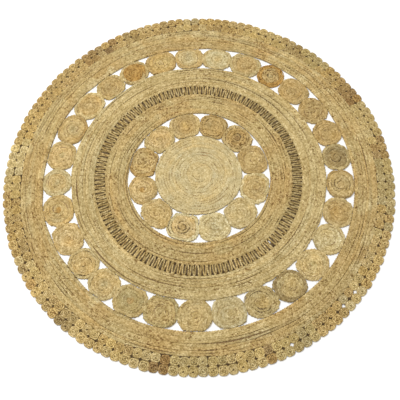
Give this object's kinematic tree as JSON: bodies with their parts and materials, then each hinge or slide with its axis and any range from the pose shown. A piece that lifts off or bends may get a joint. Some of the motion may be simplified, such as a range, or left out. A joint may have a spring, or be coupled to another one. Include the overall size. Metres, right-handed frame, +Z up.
{
  "type": "round jute rug",
  "caption": "Round openwork rug of braided jute: a wound centre disc, rings of wound coils between braided bands, a zigzag cord and a scalloped border of small scrolls.",
  "frame": {"origin": "middle of the centre disc's underside, on the floor", "axes": "+Z up from the floor, through the rug's thickness; -Y towards the edge that is nearest in the reference view"},
  "size_m": [1.4964, 1.5006, 0.01],
  "materials": {
    "pale_jute": "pale straw braided jute, matt, with light and dark fibres",
    "straw_jute": "straw-coloured braided jute, matt, with light and dark fibres",
    "honey_jute": "honey-coloured braided jute, matt, with orange-brown fibres",
    "umber_jute": "brown braided jute, matt, with dark brown fibres",
    "olive_jute": "grey-brown to olive jute cord, matt, with dark brown fibres"
  },
  "bodies": {
    "root": {"centre_disc": "pale_jute", "inner_coil_01": "honey_jute", "inner_coil_02": "umber_jute", "inner_coil_03": "umber_jute", "inner_coil_04": "honey_jute", "inner_coil_05": "straw_jute", "inner_coil_06": "straw_jute", "inner_coil_07": "straw_jute", "inner_coil_08": "honey_jute", "inner_coil_09": "straw_jute", "inner_coil_10": "honey_jute", "inner_coil_11": "umber_jute", "inner_coil_12": "straw_jute", "inner_band": "straw_jute", "zigzag_cord": "olive_jute", "middle_band": "straw_jute", "outer_coil_01": "straw_jute", "outer_coil_02": "straw_jute", "outer_coil_03": "honey_jute", "outer_coil_04": "umber_jute", "outer_coil_05": "honey_jute", "outer_coil_06": "straw_jute", "outer_coil_07": "honey_jute", "outer_coil_08": "olive_jute", "outer_coil_09": "umber_jute", "outer_coil_10": "honey_jute", "outer_coil_11": "straw_jute", "outer_coil_12": "straw_jute", "outer_coil_13": "olive_jute", "outer_coil_14": "olive_jute", "outer_coil_15": "straw_jute", "outer_coil_16": "straw_jute", "outer_coil_17": "olive_jute", "outer_coil_18": "straw_jute", "outer_coil_19": "straw_jute", "outer_coil_20": "honey_jute", "outer_coil_21": "honey_jute", "outer_coil_22": "straw_jute", "outer_coil_23": "honey_jute", "outer_coil_24": "straw_jute", "outer_coil_25": "olive_jute", "outer_coil_26": "honey_jute", "outer_coil_27": "straw_jute", "outer_coil_28": "umber_jute", "outer_coil_29": "honey_jute", "outer_band": "straw_jute", "scroll_border": "olive_jute"}
  },
  "joints": []
}
